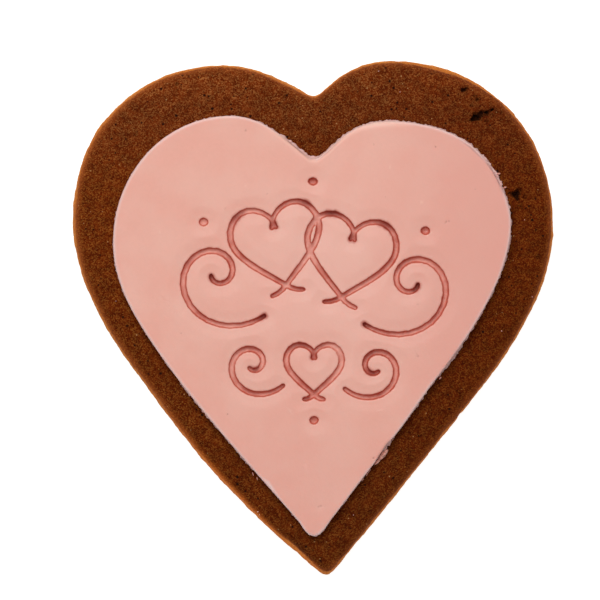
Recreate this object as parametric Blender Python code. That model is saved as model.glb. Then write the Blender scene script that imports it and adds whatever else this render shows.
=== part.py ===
"""A heart-shaped gingerbread biscuit with a smaller heart of pink icing on it.

Metres, +Z up. The biscuit lies on z = 0 with its decorated face up and the tip of the
heart towards -Y. The origin is under the middle of the whole biscuit.
"""

import math

import bmesh
import bpy
from mathutils import Vector, geometry, noise

MM = 0.001

# Thicknesses and the gap between the two layers
BISCUIT_THICKNESS = 6.0 * MM
LAYER_GAP = 0.3 * MM
ICING_THICKNESS = 2.4 * MM

# Spacing of the points along an outline and along a pressed stroke
OUTLINE_SPACING = 2.0 * MM
STROKE_SPACING = 1.3 * MM
FEWEST_STEPS = 4

# Both hearts shrink towards this point, by a share of this reach, for each inset
HEART_CENTRE = Vector((0.0, 6.0 * MM))
HEART_REACH = 40.0 * MM

# Heart outlines, counter-clockwise from above. Each anchor: x and y in mm, the heading of
# travel in degrees, and the handle lengths in mm before and after it.
BISCUIT_OUTLINE = [
    (-1.0, 42.0, 152, 0.8, 4.0),  # cleft, left side
    (-17.0, 47.3, 180, 8.0, 15.0),  # left crown
    (-45.0, 18.5, -90, 18.0, 12.0),  # left flank
    (-31.5, -12.7, -54, 13.0, 15.0),
    (1.0, -47.6, -38, 15.0, 0.8),  # tip, left side
    (4.0, -47.5, 51, 0.8, 14.0),  # tip, right side
    (26.5, -19.6, 52, 13.0, 11.0),
    (45.0, 17.5, 90, 15.0, 17.5),  # right flank
    (14.5, 48.1, 180, 18.0, 7.0),  # right crown
    (1.2, 42.0, 218, 4.0, 0.8),  # cleft, right side
]
ICING_OUTLINE = [
    (-0.7, 30.2, 146, 0.5, 6.0),  # cleft, left side
    (-16.0, 37.7, 182, 6.5, 11.5),  # left crown
    (-37.3, 14.5, -90, 13.0, 9.5),  # left flank
    (-24.9, -12.0, -53, 10.0, 12.0),
    (-1.6, -39.4, -50, 8.0, 1.4),  # tip, left side
    (2.2, -39.4, 52, 1.4, 10.0),  # tip, right side
    (22.2, -12.6, 54, 11.0, 9.0),
    (37.1, 18.0, 90, 11.5, 11.0),  # right flank
    (14.6, 36.8, 180, 12.5, 7.0),  # right crown
    (1.2, 30.3, 216, 5.0, 0.5),  # cleft, right side
]

# Section of the biscuit's edge, from the underside up: share of the thickness, inset in mm
BISCUIT_EDGE = [
    (0.0, 0.5),
    (0.08, 0.1),
    (0.2, 0.0),
    (0.5, 0.25),
    (0.77, 0.45),
    (0.9, 0.8),
    (0.965, 1.4),
    (1.0, 2.4),
]
DECK_INSETS = [3.8, 5.4, 7.2]  # rings of the uneven baked face, in mm
DECK_FLAT_INSET = 9.4 * MM  # the face is flat from here inwards, under the icing

# Places where the biscuit's side leans back and shows from above: x, y, reach, lean in mm
LEANING_SIDES = [
    (-6.5, 45.0, 8.0, 0.6),
    (24.0, 46.5, 8.0, 0.5),
    (-3.5, -44.5, 7.0, 0.7),
]

# Unevenness of the baked crumb
CRAG_SIZE = 3.1 * MM
CRAG_DEPTH = 0.14 * MM
ROUGH_EDGE = (26.0, -22.0, 16.0)  # x, y, reach in mm
ROUGH_EDGE_GAIN = 1.6  # how much deeper the unevenness is there, as a share

# Cracks and pits in the baked face: x, y, length, width, depth in mm, heading in degrees
PITS = [
    (31.2, 37.7, 5.6, 0.9, 0.7, 28),
    (30.5, 37.3, 1.5, 1.1, 1.6, 10),
    (28.5, 42.7, 1.5, 0.6, 0.6, 24),
    (30.7, 40.6, 1.1, 0.6, 0.6, -20),
    (38.3, 23.2, 2.3, 1.5, 1.0, 70),
    (42.0, 11.1, 1.1, 0.8, 0.6, 80),
    (-25.4, 43.6, 1.2, 0.8, 0.7, 15),
    (-5.2, 41.0, 0.9, 0.8, 0.5, 60),
]
PIT_RAGGEDNESS = 0.22
PIT_RAG_STEPS = 1.7  # ragged steps across the radius of a pit

# Section of the icing, from its foot up: share of the thickness, inset in mm, share of
# the flash
ICING_EDGE = [
    (0.0, 0.3, 0.9),
    (0.05, 0.0, 1.0),
    (0.13, 0.05, 0.9),
    (0.21, 0.1, 0.0),
    (0.5, 0.05, 0.0),
    (0.73, 0.25, 0.0),
    (0.9, 0.65, 0.0),
    (0.97, 1.15, 0.0),
    (1.0, 1.9, 0.0),
]

# Thin flash that the cutter left at the icing's foot: x, y, reach, how far out in mm
ICING_FLASH = [
    (-3.0, 31.8, 5.0, 0.6),
    (34.6, 27.0, 5.0, 0.5),
    (25.5, -8.5, 6.0, 0.4),
    (13.0, -25.0, 3.5, 0.7),
]

# Pressed ornament
STROKE_HALF_WIDTH = 0.56 * MM
STROKE_DEPTH = 1.05 * MM
STROKE_SECTION = [(0.45, 1.0), (0.82, 0.82), (1.0, 0.5)]  # shares of width and depth
STROKE_TAPER = 0.3  # share of its width that a stroke loses towards its ends
DOT_HALF_WIDTH = 0.75 * MM
DOT_LENGTH = 0.3 * MM
CUTTER_RISE = 0.4 * MM
CAP_STEPS = 4

# Half of an outlined heart, from its cleft over the lobe and past the tip, as anchors
HALF_HEART = [
    (-0.4, 3.2, 84, 0.0, 2.2),
    (4.2, 7.3, 2, 2.4, 2.4),
    (8.4, 2.6, -90, 2.5, 3.6),
    (0.6, -7.2, 222, 4.4, 1.6),
    (-3.0, -9.2, 186, 1.6, 0.0),
]
# Hearts of the ornament: x, y in mm, turn in degrees, size
PRESSED_HEARTS = [
    (-6.6, 13.6, 12, 1.0),
    (6.8, 11.4, -11, 1.0),
    (0.2, -9.6, 0, 0.62),
]
# Scrolls: x, y of the eye in mm, outer and inner radius, start angle and sweep in degrees
PRESSED_SCROLLS = [
    (-17.8, 8.2, 11.8, 1.3, -42, -480),
    (18.4, 6.6, 11.8, 1.3, 222, 480),
    (-11.2, -8.6, 7.0, 1.1, -36, -450),
    (11.6, -9.2, 7.0, 1.1, 216, 450),
]
SCROLL_STEP = 17  # mean turn between two points of a scroll, in degrees
SCROLL_EASE = 1.35  # above 1, the points lie closer together where a scroll is wide
# Dots: x and y in mm
PRESSED_DOTS = [(-20.4, 17.8), (21.0, 16.2), (0.0, 25.4), (0.2, -19.2)]

# Screen colours and roughness of the two layers, and the angle above which an edge is hard
GINGERBREAD = ((104, 60, 26), 0.85)
PINK_ICING = ((232, 172, 158), 0.42)
HARD_EDGE_ANGLE = math.radians(45)


def clear_scene():
    for item in list(bpy.data.objects):
        bpy.data.objects.remove(item, do_unlink=True)


def linear(channel):
    """Linear value of an 8-bit screen colour channel."""
    share = channel / 255
    if share <= 0.04045:
        return share / 12.92
    return ((share + 0.055) / 1.055) ** 2.4


def make_material(name, colour, roughness):
    material = bpy.data.materials.new(name)
    material.use_nodes = True
    surface = material.node_tree.nodes["Principled BSDF"]
    surface.inputs["Base Color"].default_value = [linear(c) for c in colour] + [1.0]
    surface.inputs["Roughness"].default_value = roughness
    surface.inputs["Metallic"].default_value = 0.0
    return material


def direction(degrees):
    angle = math.radians(degrees)
    return Vector((math.cos(angle), math.sin(angle)))


def curve_points(anchors, spacing, closed):
    """Points in metres along the smooth curve through the anchors."""
    ends = anchors[1:] + anchors[:1] if closed else anchors[1:]
    points = []
    for start, end in zip(anchors, ends):
        knot = Vector(start[:2]) * MM
        next_knot = Vector(end[:2]) * MM
        handle = knot + direction(start[2]) * start[4] * MM
        next_handle = next_knot - direction(end[2]) * end[3] * MM
        steps = max(FEWEST_STEPS, round((next_knot - knot).length / spacing))
        stretch = geometry.interpolate_bezier(knot, handle, next_handle, next_knot, steps + 1)
        points += stretch[:-1]
    if not closed:
        points.append(Vector(anchors[-1][:2]) * MM)
    return [point.to_2d() for point in points]


def nearness(point, place):
    """1 at a named place (x, y, reach in mm), falling smoothly to 0 at its reach."""
    share = (point - Vector(place[:2]) * MM).length / (place[2] * MM)
    return (1 - share * share) ** 2 if share < 1 else 0.0


def extra(point, places):
    """The largest last value of the places near a point, eased to 0 at their reach."""
    return max(nearness(point, place) * place[3] * MM for place in places)


def inset(point, amount):
    return HEART_CENTRE + (point - HEART_CENTRE) * (1 - amount / HEART_REACH)


def crag(point, height):
    """Uneven step of the crumb, between about -1 and 1."""
    return noise.noise(Vector((point.x, point.y, height)) / CRAG_SIZE)


def shell(name, rings):
    """One closed skin through the rings, bottom to top, with a cap at both ends."""
    shape = bmesh.new()
    loops = [[shape.verts.new(corner) for corner in ring] for ring in rings]
    count = len(loops[0])
    for lower, upper in zip(loops, loops[1:]):
        for here in range(count):
            there = (here + 1) % count
            shape.faces.new((lower[here], lower[there], upper[there], upper[here]))
    shape.faces.new(loops[0][::-1])
    shape.faces.new(loops[-1])
    mesh = bpy.data.meshes.new(name)
    shape.to_mesh(mesh)
    shape.free()
    item = bpy.data.objects.new(name, mesh)
    bpy.context.scene.collection.objects.link(item)
    return item


def cut_with(item, cutters, name):
    """Cuts every cutter out of the item, and takes the cutters away."""
    group = bpy.data.collections.new(name)
    for cutter in cutters:
        group.objects.link(cutter)
    cut = item.modifiers.new(name, "BOOLEAN")
    cut.operation = "DIFFERENCE"
    cut.solver = "EXACT"
    cut.operand_type = "COLLECTION"
    cut.collection = group
    graph = bpy.context.evaluated_depsgraph_get()
    carved = bpy.data.meshes.new_from_object(item.evaluated_get(graph))
    item.modifiers.remove(cut)
    item.data = carved
    carved.name = item.name
    for cutter in cutters:
        bpy.data.objects.remove(cutter, do_unlink=True)
    bpy.data.collections.remove(group)


def finish_surface(item, material):
    item.data.materials.clear()
    item.data.materials.append(material)
    item.data.shade_smooth()
    item.data.set_sharp_from_angle(angle=HARD_EDGE_ANGLE)


def biscuit_rings():
    outline = curve_points(BISCUIT_OUTLINE, OUTLINE_SPACING, closed=True)
    rings = []
    for height_share, edge_inset in BISCUIT_EDGE:
        level = height_share * BISCUIT_THICKNESS
        ring = []
        for point in outline:
            lean = extra(point, LEANING_SIDES) * height_share
            depth = CRAG_DEPTH * (1 + ROUGH_EDGE_GAIN * nearness(point, ROUGH_EDGE))
            corner = inset(point, edge_inset * MM + lean + depth * crag(point, level))
            ring.append((*corner, level))
        rings.append(ring)
    for deck_inset in DECK_INSETS:
        ring = []
        for point in outline:
            corner = inset(point, deck_inset * MM + extra(point, LEANING_SIDES))
            level = BISCUIT_THICKNESS + CRAG_DEPTH * crag(corner, BISCUIT_THICKNESS)
            ring.append((*corner, level))
        rings.append(ring)
    rings.append([(*inset(point, DECK_FLAT_INSET), BISCUIT_THICKNESS) for point in outline])
    return rings


def pit_cutter(number, place):
    """A small squashed ball, its middle on the baked face."""
    x, y, length, width, depth, turn = place
    shape = bmesh.new()
    bmesh.ops.create_icosphere(shape, subdivisions=2, radius=1.0)
    along = direction(turn)
    across = Vector((-along.y, along.x))
    for corner in shape.verts:
        step = noise.noise(corner.co * PIT_RAG_STEPS + Vector((number, 0, 0)))
        spot = along * corner.co.x * length / 2 + across * corner.co.y * width / 2
        spot *= 1 + PIT_RAGGEDNESS * step
        level = BISCUIT_THICKNESS / MM + corner.co.z * depth
        corner.co = Vector((x + spot.x, y + spot.y, level)) * MM
    mesh = bpy.data.meshes.new("pit")
    shape.to_mesh(mesh)
    shape.free()
    cutter = bpy.data.objects.new("pit", mesh)
    cutter.display_type = "WIRE"
    cutter.hide_render = True
    bpy.context.scene.collection.objects.link(cutter)
    return cutter


def make_biscuit():
    biscuit = shell("gingerbread_heart", biscuit_rings())
    cut_with(biscuit, [pit_cutter(*entry) for entry in enumerate(PITS)], "pits")
    finish_surface(biscuit, make_material("gingerbread", *GINGERBREAD))
    return biscuit


def icing_rings():
    outline = curve_points(ICING_OUTLINE, OUTLINE_SPACING, closed=True)
    foot = BISCUIT_THICKNESS + LAYER_GAP
    rings = []
    for height_share, edge_inset, flash_share in ICING_EDGE:
        ring = []
        for point in outline:
            flash = extra(point, ICING_FLASH) * flash_share
            corner = inset(point, edge_inset * MM - flash)
            ring.append((*corner, foot + height_share * ICING_THICKNESS))
        rings.append(ring)
    return rings


def mirrored(anchors):
    return [(-x, y, 180 - turn, back, on) for x, y, turn, back, on in anchors]


def heart_paths(x, y, turn, size):
    """Centre lines of the two halves of one pressed heart."""
    place = Vector((x, y)) * MM
    along = direction(turn)
    across = Vector((-along.y, along.x))
    paths = []
    for anchors in (HALF_HEART, mirrored(HALF_HEART)):
        points = curve_points(anchors, STROKE_SPACING / size, closed=False)
        paths.append([place + (along * p.x + across * p.y) * size for p in points])
    return paths


def scroll_path(x, y, outer, inner, start, sweep):
    """Centre line of a scroll that winds in from its outer to its inner radius."""
    shrink = math.log(inner / outer)
    eye = Vector((x, y)) * MM
    steps = round(abs(sweep) / SCROLL_STEP)
    path = []
    for step in range(steps + 1):
        share = (step / steps) ** SCROLL_EASE
        radius = outer * math.exp(shrink * share) * MM
        path.append(eye + direction(start + sweep * share) * radius)
    return path


def stroke_outline(path, half_widths):
    """Outline of a stroke with round ends, counter-clockwise from above."""
    headings = []
    for here in range(len(path)):
        before = path[max(here - 1, 0)]
        after = path[min(here + 1, len(path) - 1)]
        headings.append((after - before).normalized())
    lefts = [Vector((-heading.y, heading.x)) for heading in headings]
    right_side = [p - left * half for p, left, half in zip(path, lefts, half_widths)]
    left_side = [p + left * half for p, left, half in zip(path, lefts, half_widths)]
    end_cap = []
    start_cap = []
    for step in range(1, CAP_STEPS):
        angle = math.pi * step / CAP_STEPS
        ahead = headings[-1] * math.sin(angle) - lefts[-1] * math.cos(angle)
        behind = headings[0] * math.sin(angle) - lefts[0] * math.cos(angle)
        end_cap.append(path[-1] + ahead * half_widths[-1])
        start_cap.append(path[0] - behind * half_widths[0])
    return right_side + end_cap + left_side[::-1] + start_cap


def stroke_cutter(path, half_widths):
    """A cutter for one pressed stroke: upright walls and a rounded floor."""
    top = BISCUIT_THICKNESS + LAYER_GAP + ICING_THICKNESS
    levels = [(width, top - STROKE_DEPTH * depth) for width, depth in STROKE_SECTION]
    levels.append((1.0, top + CUTTER_RISE))
    rings = []
    for width_share, level in levels:
        outline = stroke_outline(path, [half * width_share for half in half_widths])
        rings.append([(*corner, level) for corner in outline])
    cutter = shell("stroke", rings)
    cutter.display_type = "WIRE"
    cutter.hide_render = True
    return cutter


def line_cutter(path):
    """A stroke that is widest half way along and thinner at both ends."""
    last = len(path) - 1
    swells = [math.sin(math.pi * here / last) for here in range(last + 1)]
    half_widths = [STROKE_HALF_WIDTH * (1 - STROKE_TAPER * (1 - swell)) for swell in swells]
    return stroke_cutter(path, half_widths)


def dot_cutter(x, y):
    middle = Vector((x, y)) * MM
    path = [middle + Vector((side * DOT_LENGTH / 2, 0)) for side in (-1, 1)]
    return stroke_cutter(path, [DOT_HALF_WIDTH] * 2)


def ornament_cutters():
    paths = [scroll_path(*scroll) for scroll in PRESSED_SCROLLS]
    for heart in PRESSED_HEARTS:
        paths += heart_paths(*heart)
    return [line_cutter(path) for path in paths] + [dot_cutter(*dot) for dot in PRESSED_DOTS]


def make_icing():
    icing = shell("icing_heart", icing_rings())
    cut_with(icing, ornament_cutters(), "pressed_strokes")
    finish_surface(icing, make_material("pink_icing", *PINK_ICING))
    return icing


def centre_on_origin(items):
    """Moves the pieces together, so that the origin is under the middle of them all."""
    corners = [corner.co for item in items for corner in item.data.vertices]
    middle_x = (min(c.x for c in corners) + max(c.x for c in corners)) / 2
    middle_y = (min(c.y for c in corners) + max(c.y for c in corners)) / 2
    for item in items:
        for corner in item.data.vertices:
            corner.co.x -= middle_x
            corner.co.y -= middle_y


def main():
    clear_scene()
    centre_on_origin([make_biscuit(), make_icing()])


main()
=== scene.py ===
# Gingerbread heart with a heart of pressed pink icing on it
import math
import random

import bpy
import numpy as np
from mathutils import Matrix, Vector


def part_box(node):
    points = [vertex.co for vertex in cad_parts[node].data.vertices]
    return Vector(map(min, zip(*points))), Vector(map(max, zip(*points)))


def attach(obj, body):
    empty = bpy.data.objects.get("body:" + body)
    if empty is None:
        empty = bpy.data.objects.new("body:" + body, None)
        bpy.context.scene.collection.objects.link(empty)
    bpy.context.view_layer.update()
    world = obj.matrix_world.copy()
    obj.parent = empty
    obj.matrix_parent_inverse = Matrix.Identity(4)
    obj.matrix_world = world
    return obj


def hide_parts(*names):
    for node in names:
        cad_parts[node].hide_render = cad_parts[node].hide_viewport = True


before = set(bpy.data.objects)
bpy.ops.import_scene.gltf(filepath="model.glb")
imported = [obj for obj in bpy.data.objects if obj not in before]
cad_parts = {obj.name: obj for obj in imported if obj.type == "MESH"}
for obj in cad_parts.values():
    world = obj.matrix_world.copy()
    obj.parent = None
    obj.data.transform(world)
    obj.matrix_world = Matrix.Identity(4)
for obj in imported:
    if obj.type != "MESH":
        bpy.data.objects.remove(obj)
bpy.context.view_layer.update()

mm = 0.001
heartCentre = (0.0, 6 * mm)  # both outlines are seen whole from this point
# a moved edge takes along all that is up to the first distance in from it, and nothing past
# the second
edgeBand = (1 * mm, 4 * mm)
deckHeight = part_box("gingerbread_heart")[1].z
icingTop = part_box("icing_heart")[1].z
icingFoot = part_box("icing_heart")[0].z


# Small helpers for picking and finishing a piece

def pickOnly(piece):
    bpy.ops.object.select_all(action="DESELECT")
    piece.select_set(True)
    bpy.context.view_layer.objects.active = piece


def applyAll(piece):
    pickOnly(piece)
    for modifier in list(piece.modifiers):
        bpy.ops.object.modifier_apply(modifier=modifier.name)


def mergedCopy(nodeName, pieceName):
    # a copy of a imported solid, its loose triangles merged into one skin
    piece = bpy.data.objects.new(pieceName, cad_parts[nodeName].data.copy())
    piece.data.name = pieceName
    bpy.context.scene.collection.objects.link(piece)
    pickOnly(piece)
    bpy.ops.mesh.customdata_custom_splitnormals_clear()
    bpy.ops.object.mode_set(mode="EDIT")
    bpy.ops.mesh.select_all(action="SELECT")
    bpy.ops.mesh.remove_doubles(threshold=0.002 * mm)
    bpy.ops.object.mode_set(mode="OBJECT")
    return piece


def points(piece):
    flat = np.empty(len(piece.data.vertices) * 3, np.float32)
    piece.data.vertices.foreach_get("co", flat)
    return flat.reshape(-1, 3)


def normals(piece):
    flat = np.empty(len(piece.data.vertices) * 3, np.float32)
    piece.data.vertex_normals.foreach_get("vector", flat)
    return flat.reshape(-1, 3)


def smoothStep(low, high, values):
    share = np.clip((values - low) / (high - low), 0, 1)
    return share * share * (3 - 2 * share)


def nearPlaces(where, places):
    # 1 at each place (x, y, reach in mm), easing to 0 at its reach
    weight = np.zeros(len(where))
    for x, y, reach in places:
        away = np.hypot(where[:, 0] - x * mm, where[:, 1] - y * mm)
        weight = np.maximum(weight, 1 - smoothStep(0, reach * mm, away))
    return weight


def seenFromCentre(where):
    # angle and reach of each point, seen from the heart's centre
    x = where[:, 0] - heartCentre[0]
    y = where[:, 1] - heartCentre[1]
    return np.arctan2(y, x), np.hypot(x, y)


def outlineOf(nodeName):
    # a heart's outline as angles and reaches, seen from its centre
    spokes = 150
    tooShort = 0.7 * mm
    angle, reach = seenFromCentre(points(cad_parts[nodeName]))
    slot = np.round((angle + math.pi) / math.tau * spokes).astype(int) % spokes
    farthest = {}
    for number in np.argsort(reach):
        farthest[slot[number]] = number
    rim = np.array(list(farthest.values()))
    rim = rim[np.argsort(angle[rim])]
    # a spoke that met no rim vertex reads too short and is left out
    beside = np.minimum(np.roll(reach[rim], 1), np.roll(reach[rim], -1))
    rim = rim[reach[rim] > beside - tooShort]
    return angle[rim], reach[rim]


def edgeDistance(nodeName, where):
    # how far inside a heart's outline each point lies, measured towards the heart's centre
    angles, reaches = outlineOf(nodeName)
    angle, reach = seenFromCentre(where)
    return np.interp(angle, angles, reaches, period=math.tau) - reach


def edgeShift(where, places):
    # how far a heart's edge is moved out near each place, or in where that is below 0
    shift = np.zeros(len(where))
    for x, y, reach, distance in places:
        shift += nearPlaces(where, [(x, y, reach)]) * distance * mm
    return shift


def movedDistance(nodeName, where, places):
    # the same distance once the edge has been moved
    return edgeDistance(nodeName, where) + edgeShift(where, places)


def setGroup(piece, name, weights):
    # weights are rounded to steps, and the points of one step go in together
    stepCount = 40
    group = piece.vertex_groups.new(name=name)
    steps = np.round(np.clip(weights, 0, 1) * stepCount).astype(int)
    for step in range(1, stepCount + 1):
        chosen = np.flatnonzero(steps == step)
        if len(chosen):
            group.add(chosen.tolist(), step / stepCount, "REPLACE")


def groupWeights(piece, name):
    index = piece.vertex_groups[name].index
    weights = np.zeros(len(piece.data.vertices))
    for number, vertex in enumerate(piece.data.vertices):
        for held in vertex.groups:
            if held.group == index:
                weights[number] = held.weight
    return weights


def setMask(piece, name, values):
    mask = piece.data.attributes.new(name, "FLOAT", "POINT")
    mask.data.foreach_set("value", np.asarray(values, np.float32))


def relief(piece, name, size, height, middle=0.5, group="", axis="NORMAL", depth=2):
    # raises and sinks the surface by a soft cloudy pattern of the given size, where the
    # pattern's middle level stays as it is
    pattern = bpy.data.textures.new(name, "CLOUDS")
    pattern.noise_scale = size
    pattern.noise_depth = depth
    pattern.noise_type = "SOFT_NOISE"
    step = piece.modifiers.new(name, "DISPLACE")
    step.texture = pattern
    step.texture_coords = "LOCAL"
    step.strength = height
    step.mid_level = middle
    step.direction = axis
    step.vertex_group = group


def sinkGroup(piece, group, depth):
    # straight down
    step = piece.modifiers.new(group, "DISPLACE")
    step.strength = -depth
    step.mid_level = 0
    step.direction = "Z"
    step.vertex_group = group


def remesh(piece, voxel):
    step = piece.modifiers.new("remesh", "REMESH")
    step.mode = "VOXEL"
    step.voxel_size = voxel
    step.use_smooth_shade = True


def smoothen(piece, turns, group=""):
    step = piece.modifiers.new("smooth", "SMOOTH")
    step.factor = 0.5
    step.iterations = turns
    step.vertex_group = group


def thin(piece, ratio, group):
    # the ratio is the share of all faces that stays, and the others go where the group says so
    step = piece.modifiers.new("thin", "DECIMATE")
    step.ratio = ratio
    step.vertex_group = group
    step.vertex_group_factor = 1.0


def setPoints(piece, where):
    piece.data.vertices.foreach_set("co", where.ravel())
    piece.data.update()


def drawOutTip(piece, x, y, reach, pull, narrowing):
    # the lower point of a heart is drawn out a little, as it was cut
    where = points(piece)
    away = np.hypot(where[:, 0] - x, where[:, 1] - y)
    share = 1 - smoothStep(0, reach, away)
    where[:, 0] = x + (where[:, 0] - x) * (1 - narrowing * share)
    where[:, 1] -= pull * share
    setPoints(piece, where)


def moveEdge(piece, nodeName, places):
    where = points(piece)
    follows = 1 - smoothStep(*edgeBand, edgeDistance(nodeName, where))
    outward = where[:, :2] - np.array(heartCentre)
    outward /= np.linalg.norm(outward, axis=1)[:, None] + 1e-9
    where[:, :2] += outward * (follows * edgeShift(where, places))[:, None]
    setPoints(piece, where)


def countTriangles(piece):
    return sum(len(face.vertices) - 2 for face in piece.data.polygons)


def addLump(x, y, z, length, width, depth, heading, roughness, seed):
    # a small ragged ball: z in metres, everything else in mm, heading in degrees
    bpy.ops.object.select_all(action="DESELECT")
    bpy.ops.mesh.primitive_ico_sphere_add(subdivisions=3, radius=mm, location=(0, 0, 0))
    lump = bpy.context.object
    bpy.ops.object.mode_set(mode="EDIT")
    bpy.ops.transform.resize(value=(length / 2, width / 2, depth))
    bpy.ops.transform.vertex_random(offset=roughness * mm * min(1, width), seed=seed)
    bpy.ops.object.mode_set(mode="OBJECT")
    lump.rotation_euler.z = math.radians(heading)
    lump.location = (x * mm, y * mm, z)
    return lump


def joinAll(pieces, name):
    bpy.ops.object.select_all(action="DESELECT")
    for piece in pieces:
        piece.select_set(True)
    bpy.context.view_layer.objects.active = pieces[0]
    bpy.ops.object.join()
    bpy.ops.object.transform_apply(location=True, rotation=True, scale=True)
    pieces[0].name = name
    pieces[0].data.name = name
    return pieces[0]


# The baked heart

baked = {
    "voxel": 0.235 * mm,
    "crumbSize": 0.5 * mm,
    "crumbHeight": 0.11 * mm,
    "waveSize": 8 * mm,
    "waveHeight": 0.2 * mm,
    "cragSize": 1.5 * mm,  # the craggy side
    "cragHeight": 0.28 * mm,
    # share of all the faces that stays, as those under the icing and on the base are thinned
    "plainShare": 0.32,
    # height of the face at a distance in from the rim, both in mm
    "edgeProfile": [(0, 2.0), (0.45, 4.6), (0.8, 5.4), (1.4, 5.8), (2.4, 6.0)],
    "tip": (2.5 * mm, -48.1 * mm, 3.2 * mm, 0.3 * mm, 0.3),  # place, reach, pull, narrowing
    # where the cut ran wider, or narrower where the last is below 0: x, y, reach, distance in mm
    "edgeMoves": [(44, 8, 16, 0.13), (40, 32, 14, 0.17), (24, 48, 14, 0.17), (-42, 32, 12, 0.08),
                  (34, -12, 22, 0.17), (-20, -28, 14, 0.15), (20, -29, 14, 0.03),
                  (-43, 4, 14, -0.12), (-32, -13, 12, -0.1), (0, 41, 6, -0.1)],
    # heights: the base ends below the first, the upper part begins above the second
    "baseTop": 1 * mm,
    "upperFrom": 2 * mm,
    # heights over which the craggy side begins and ends, and the crumb relief begins
    "sideStart": (0.1 * mm, 0.8 * mm),
    "sideEnd": (4.6 * mm, 5.6 * mm),
    "crustStart": (0.0, 0.5 * mm),
    # distances in from the rim over which these begin, and the rim's colour ends
    "pitStart": (1.2 * mm, 1.9 * mm),
    "baseStart": (1.2 * mm, 2.4 * mm),
    "rimEnd": (0.3 * mm, 1.9 * mm),
    "sideReach": 2 * mm,
    "hiddenStart": (0.9 * mm, 1.7 * mm),  # in from the icing's edge
    # the darkening of a pit is painted shade
    "pitDepths": (0.1 * mm, 1.1 * mm),  # below the face: where a pit darkens, and is darkest
    "downward": (0.6, 0.95),  # how far the surface faces down, for none and all of the base
    "chipVoxel": 0.09 * mm,
    "chipSink": 0.1 * mm,  # how far below the face the middle of a chip lies
    "chipRoughness": 0.24,
    "crumbleSize": 0.35 * mm,
    "crumbleHeight": 0.4 * mm,
    # ragged chips along the cracks: x, y, length, width, depth in mm, heading in degrees
    "chips": [
        (30.3, 37.3, 1.35, 1.0, 2.5, 25), (30.9, 37.15, 1.0, 0.8, 2.1, -20),
        (31.05, 37.95, 0.9, 0.7, 1.6, 50), (31.55, 38.4, 0.7, 0.6, 1.4, -30),
        (31.75, 37.85, 0.95, 0.6, 1.3, 15), (32.35, 38.3, 0.85, 0.6, 1.6, 70),
        (32.6, 37.85, 0.7, 0.55, 1.1, -10), (33.0, 38.45, 0.95, 0.65, 1.8, 35),
        (31.35, 37.45, 0.8, 0.6, 1.1, -40), (30.2, 38.05, 0.65, 0.6, 1.1, 0),
        (33.65, 38.85, 0.9, 0.6, 1.7, 20), (34.25, 39.25, 0.75, 0.5, 1.3, 30),
        (29.7, 36.8, 0.9, 0.65, 1.6, 45), (28.95, 36.4, 0.85, 0.5, 1.1, 20),
        (30.85, 40.6, 0.65, 1.0, 1.5, -20), (30.4, 41.1, 0.6, 0.5, 0.9, 0),
        (29.65, 39.5, 0.65, 0.55, 1.1, 0), (29.1, 40.1, 0.6, 0.5, 0.8, 0),
        (28.2, 42.4, 2.0, 0.62, 1.5, 20), (28.9, 42.75, 0.8, 0.5, 1.2, 20),
        (36.4, 37.3, 0.55, 0.45, 0.7, 0), (32.2, 37.25, 0.55, 0.5, 0.8, 0),
        (37.1, 23.2, 1.3, 0.5, 1.5, 0), (38.2, 23.3, 1.2, 0.5, 1.6, -5),
        (38.9, 23.4, 0.65, 0.38, 1.0, 10), (38.0, 22.8, 1.2, 0.75, 2.0, 0),
        (38.2, 22.25, 0.85, 0.7, 1.8, 0), (38.4, 21.8, 0.5, 0.5, 1.2, 0),
        (37.4, 22.7, 0.6, 0.55, 1.3, 0), (36.7, 22.9, 0.6, 0.5, 1.2, 0),
        (42.5, 11.0, 0.7, 0.55, 1.0, 80), (42.2, 10.4, 0.45, 0.4, 0.6, 0),
        (-25.4, 44.5, 0.75, 0.5, 1.0, 15), (-17.7, 46.2, 0.5, 0.45, 0.8, 0),
        (-5.1, 41.6, 0.65, 0.5, 0.9, 60), (-4.1, 37.9, 0.5, 0.45, 0.8, 0),
        (11.6, 38.6, 0.6, 0.5, 1.0, 40), (14.2, 39.7, 0.5, 0.4, 0.7, 0),
        (19.8, 38.5, 0.45, 0.4, 0.7, 0), (25.8, 40.6, 0.6, 0.4, 0.5, -40),
        (-32.0, 37.0, 0.5, 0.4, 0.7, 30), (-37.3, 28.6, 0.55, 0.5, 0.8, 0),
        (-22.0, 38.6, 0.45, 0.38, 0.6, 0), (-21.3, 38.6, 0.4, 0.36, 0.6, 0),
        (-42.0, 6.8, 0.5, 0.4, 0.6, 0), (27.8, -18.4, 0.45, 0.4, 0.6, 0),
        (-15.9, -31.0, 0.45, 0.4, 0.5, 0), (39.8, -0.6, 0.45, 0.4, 0.6, 0),
    ],
}


def makeChips():
    chips = []
    for number, (x, y, length, width, depth, heading) in enumerate(baked["chips"]):
        chips.append(addLump(x, y, deckHeight - baked["chipSink"], length, width, depth,
                             heading, baked["chipRoughness"], number))
    cutter = joinAll(chips, "crackChips")
    # crumbled, and then made one closed skin again, so that it cuts cleanly
    remesh(cutter, baked["chipVoxel"])
    relief(cutter, "crumble", baked["crumbleSize"], baked["crumbleHeight"])
    remesh(cutter, baked["chipVoxel"])
    applyAll(cutter)
    print("chips along the cracks:", len(chips))
    return cutter


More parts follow.
